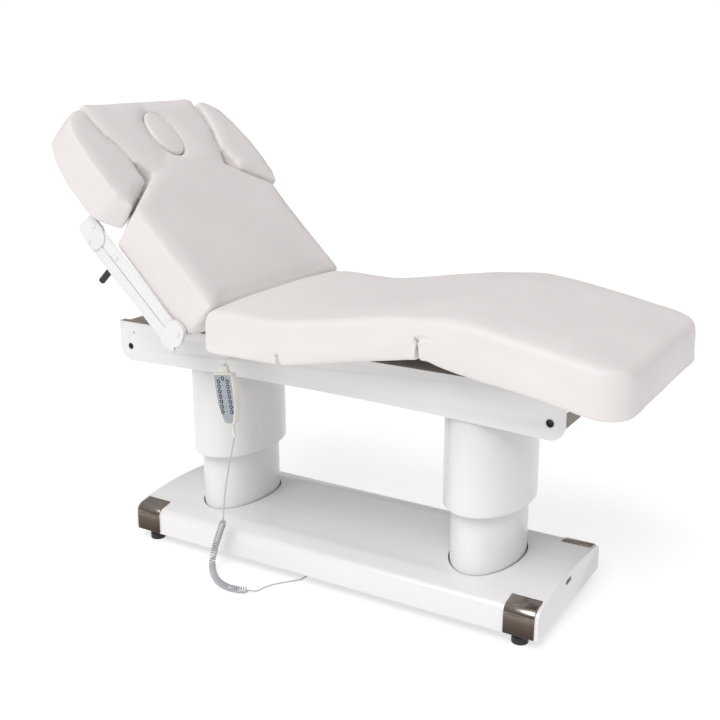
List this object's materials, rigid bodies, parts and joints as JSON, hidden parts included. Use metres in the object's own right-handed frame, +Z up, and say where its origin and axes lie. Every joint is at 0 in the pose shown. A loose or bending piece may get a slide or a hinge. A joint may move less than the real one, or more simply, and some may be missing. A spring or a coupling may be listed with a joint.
{
  "type": "facial treatment bed",
  "caption": "Electric facial treatment bed on two lifting columns, with a reclining backrest, folding leg rest, swinging arm pads and a wired handset.",
  "frame": {"origin": "on the floor, under the middle of the bed's bounding box measured without the cord", "axes": "+X to the foot end, +Y to the patient's left, +Z up"},
  "size_m": [1.8238, 0.7974, 1.3915],
  "materials": {
    "white_vinyl": "satin",
    "white_powder_coat": "satin",
    "dark_coated_steel": "satin",
    "smoked_nickel": "gloss",
    "black_rubber": "matte",
    "bare_aluminium": "satin",
    "cream_plastic": "satin",
    "grey_plastic": "satin",
    "cord_sheath": "satin"
  },
  "bodies": {
    "base": {"base_cover": "white_powder_coat", "base_pan": "dark_coated_steel", "corner_cover_head_right": "smoked_nickel", "corner_cover_head_left": "smoked_nickel", "corner_cover_foot_right": "smoked_nickel", "corner_cover_foot_left": "smoked_nickel", "foot_head_right": "black_rubber", "foot_head_left": "black_rubber", "foot_foot_right": "black_rubber", "foot_foot_left": "black_rubber", "lower_column_cover_head": "white_powder_coat", "lift_profile_outer_head": "bare_aluminium", "lower_column_cover_foot": "white_powder_coat", "lift_profile_outer_foot": "bare_aluminium", "cord_upper": "cord_sheath", "cord_coil": "cord_sheath", "cord_lower": "cord_sheath"},
    "lift": {"lift_profile_inner_head": "bare_aluminium", "upper_column_cover_head": "white_powder_coat", "lift_profile_inner_foot": "bare_aluminium", "upper_column_cover_foot": "white_powder_coat", "beam": "white_powder_coat", "seat_cushion": "white_vinyl", "handset_case": "cream_plastic"},
    "backrest": {"backrest_cushion": "white_vinyl", "backrest_frame": "white_powder_coat"},
    "face_plug": {"face_hole_plug": "white_vinyl"},
    "thigh_rest": {"thigh_cushion": "white_vinyl", "thigh_frame": "white_powder_coat"},
    "leg_rest": {"leg_cushion": "white_vinyl", "leg_frame": "white_powder_coat"},
    "back_actuator_body": {"back_actuator_housing": "dark_coated_steel"},
    "back_actuator_shaft": {"back_actuator_rod": "bare_aluminium"},
    "leg_actuator_body": {"leg_actuator_housing": "dark_coated_steel"},
    "leg_actuator_shaft": {"leg_actuator_rod": "bare_aluminium"},
    "upper_bar_right": {"armrest_upper_bar_right": "white_powder_coat"},
    "lower_bar_right": {"armrest_lower_bar_right": "white_powder_coat"},
    "armrest_right": {"arm_pad_right": "white_vinyl", "armrest_bracket_right": "white_powder_coat"},
    "lock_lever_right": {"armrest_lock_lever_right": "black_rubber"},
    "upper_bar_left": {"armrest_upper_bar_left": "white_powder_coat"},
    "lower_bar_left": {"armrest_lower_bar_left": "white_powder_coat"},
    "armrest_left": {"arm_pad_left": "white_vinyl", "armrest_bracket_left": "white_powder_coat"},
    "lock_lever_left": {"armrest_lock_lever_left": "black_rubber"},
    "handset_button_01": {"handset_button_01": "grey_plastic"},
    "handset_button_02": {"handset_button_02": "grey_plastic"},
    "handset_button_03": {"handset_button_03": "grey_plastic"},
    "handset_button_04": {"handset_button_04": "grey_plastic"},
    "handset_button_05": {"handset_button_05": "grey_plastic"},
    "handset_button_06": {"handset_button_06": "grey_plastic"},
    "handset_button_07": {"handset_button_07": "grey_plastic"},
    "handset_button_08": {"handset_button_08": "grey_plastic"},
    "handset_button_09": {"handset_button_09": "grey_plastic"},
    "handset_button_10": {"handset_button_10": "grey_plastic"},
    "handset_button_11": {"handset_button_11": "grey_plastic"},
    "handset_button_12": {"handset_button_12": "grey_plastic"},
    "handset_button_13": {"handset_button_13": "grey_plastic"},
    "handset_button_14": {"handset_button_14": "grey_plastic"},
    "handset_button_15": {"handset_button_15": "grey_plastic"}
  },
  "joints": [
    {"name": "lift_height", "type": "slide", "parent": "base", "child": "lift", "axis": [0, 0, 1], "range_m": [-0.165, 0.105], "deforming": ["cord_upper"]},
    {"name": "backrest_recline", "type": "hinge", "parent": "lift", "child": "backrest", "pos_m": [-0.30669, 0, 0.7685], "axis": [0, 1, 0], "range_deg": [-45.45, 15]},
    {"name": "thigh_tilt", "type": "hinge", "parent": "lift", "child": "thigh_rest", "pos_m": [-0.06369, 0, 0.725], "axis": [0, -1, 0], "range_deg": [-10.9, 9.1]},
    {"name": "leg_fold", "type": "hinge", "parent": "thigh_rest", "child": "leg_rest", "pos_m": [0.39979, 0, 0.81425], "axis": [0, 1, 0], "range_deg": [-22.95, 19.16]},
    {"name": "face_plug_lift_out", "type": "slide", "parent": "backrest", "child": "face_plug", "axis": [0.7126, 0, 0.7015], "range_m": [0, 0.12]},
    {"name": "back_actuator_swing", "type": "hinge", "parent": "lift", "child": "back_actuator_body", "pos_m": [0.13531, 0, 0.65], "axis": [0, 1, 0], "range_deg": [-6.09, 2.01]},
    {"name": "back_actuator_stroke", "type": "slide", "parent": "back_actuator_body", "child": "back_actuator_shaft", "axis": [-0.9983, 0, 0.0582], "range_m": [-0.08972, 0.02961]},
    {"name": "leg_actuator_swing", "type": "hinge", "parent": "lift", "child": "leg_actuator_body", "pos_m": [-0.31469, 0.1, 0.65], "axis": [0, 1, 0], "range_deg": [-2.04, 2.44]},
    {"name": "leg_actuator_stroke", "type": "slide", "parent": "leg_actuator_body", "child": "leg_actuator_shaft", "axis": [0.9997, 0, 0.024], "range_m": [-0.01361, 0.01137]},
    {"name": "armrest_swing_right", "type": "hinge", "parent": "backrest", "child": "upper_bar_right", "pos_m": [-0.39648, 0, 0.76235], "axis": [0, -1, 0], "range_deg": [0, 24]},
    {"name": "armrest_lower_bar_turn_right", "type": "hinge", "parent": "backrest", "child": "lower_bar_right", "pos_m": [-0.41948, 0, 0.71444], "axis": [0, -1, 0], "range_deg": [-0.5, 24.5]},
    {"name": "armrest_level_right", "type": "hinge", "parent": "upper_bar_right", "child": "armrest_right", "pos_m": [-0.69758, 0, 1.04968], "axis": [0, -1, 0], "range_deg": [-24.5, 0.5]},
    {"name": "lock_lever_turn_right", "type": "hinge", "parent": "upper_bar_right", "child": "lock_lever_right", "pos_m": [-0.61906, 0, 0.9628], "axis": [0, 1, 0], "range_deg": [0, 20], "stiffness_Nm_per_rad": 2, "springref_deg": -5.73},
    {"name": "armrest_swing_left", "type": "hinge", "parent": "backrest", "child": "upper_bar_left", "pos_m": [-0.39648, 0, 0.76235], "axis": [0, -1, 0], "range_deg": [0, 24]},
    {"name": "armrest_lower_bar_turn_left", "type": "hinge", "parent": "backrest", "child": "lower_bar_left", "pos_m": [-0.41948, 0, 0.71444], "axis": [0, -1, 0], "range_deg": [-0.5, 24.5]},
    {"name": "armrest_level_left", "type": "hinge", "parent": "upper_bar_left", "child": "armrest_left", "pos_m": [-0.69758, 0, 1.04968], "axis": [0, -1, 0], "range_deg": [-24.5, 0.5]},
    {"name": "lock_lever_turn_left", "type": "hinge", "parent": "upper_bar_left", "child": "lock_lever_left", "pos_m": [-0.61906, 0, 0.9628], "axis": [0, 1, 0], "range_deg": [0, 20], "stiffness_Nm_per_rad": 2, "springref_deg": -5.73},
    {"name": "handset_press_01", "type": "slide", "parent": "lift", "child": "handset_button_01", "axis": [0, 1, 0], "range_m": [0, 0.001], "stiffness_N_per_m": 1500},
    {"name": "handset_press_02", "type": "slide", "parent": "lift", "child": "handset_button_02", "axis": [0, 1, 0], "range_m": [0, 0.001], "stiffness_N_per_m": 1500},
    {"name": "handset_press_03", "type": "slide", "parent": "lift", "child": "handset_button_03", "axis": [0, 1, 0], "range_m": [0, 0.001], "stiffness_N_per_m": 1500},
    {"name": "handset_press_04", "type": "slide", "parent": "lift", "child": "handset_button_04", "axis": [0, 1, 0], "range_m": [0, 0.001], "stiffness_N_per_m": 1500},
    {"name": "handset_press_05", "type": "slide", "parent": "lift", "child": "handset_button_05", "axis": [0, 1, 0], "range_m": [0, 0.001], "stiffness_N_per_m": 1500},
    {"name": "handset_press_06", "type": "slide", "parent": "lift", "child": "handset_button_06", "axis": [0, 1, 0], "range_m": [0, 0.001], "stiffness_N_per_m": 1500},
    {"name": "handset_press_07", "type": "slide", "parent": "lift", "child": "handset_button_07", "axis": [0, 1, 0], "range_m": [0, 0.001], "stiffness_N_per_m": 1500},
    {"name": "handset_press_08", "type": "slide", "parent": "lift", "child": "handset_button_08", "axis": [0, 1, 0], "range_m": [0, 0.001], "stiffness_N_per_m": 1500},
    {"name": "handset_press_09", "type": "slide", "parent": "lift", "child": "handset_button_09", "axis": [0, 1, 0], "range_m": [0, 0.001], "stiffness_N_per_m": 1500},
    {"name": "handset_press_10", "type": "slide", "parent": "lift", "child": "handset_button_10", "axis": [0, 1, 0], "range_m": [0, 0.001], "stiffness_N_per_m": 1500},
    {"name": "handset_press_11", "type": "slide", "parent": "lift", "child": "handset_button_11", "axis": [0, 1, 0], "range_m": [0, 0.001], "stiffness_N_per_m": 1500},
    {"name": "handset_press_12", "type": "slide", "parent": "lift", "child": "handset_button_12", "axis": [0, 1, 0], "range_m": [0, 0.001], "stiffness_N_per_m": 1500},
    {"name": "handset_press_13", "type": "slide", "parent": "lift", "child": "handset_button_13", "axis": [0, 1, 0], "range_m": [0, 0.001], "stiffness_N_per_m": 1500},
    {"name": "handset_press_14", "type": "slide", "parent": "lift", "child": "handset_button_14", "axis": [0, 1, 0], "range_m": [0, 0.001], "stiffness_N_per_m": 1500},
    {"name": "handset_press_15", "type": "slide", "parent": "lift", "child": "handset_button_15", "axis": [0, 1, 0], "range_m": [0, 0.001], "stiffness_N_per_m": 1500}
  ],
  "couplings": [
    {"joint": "leg_fold", "follows": "thigh_tilt", "ratio": 2.0642},
    {"joint": "back_actuator_swing", "follows": "backrest_recline", "ratio": 0.13126},
    {"joint": "back_actuator_stroke", "follows": "backrest_recline", "m_per_rad": 0.11089},
    {"joint": "leg_actuator_swing", "follows": "thigh_tilt", "ratio": -0.2194},
    {"joint": "leg_actuator_stroke", "follows": "thigh_tilt", "m_per_rad": 0.070157},
    {"joint": "armrest_lower_bar_turn_right", "follows": "armrest_swing_right", "ratio": 1},
    {"joint": "armrest_level_right", "follows": "armrest_swing_right", "ratio": -1},
    {"joint": "armrest_lower_bar_turn_left", "follows": "armrest_swing_left", "ratio": 1},
    {"joint": "armrest_level_left", "follows": "armrest_swing_left", "ratio": -1}
  ]
}
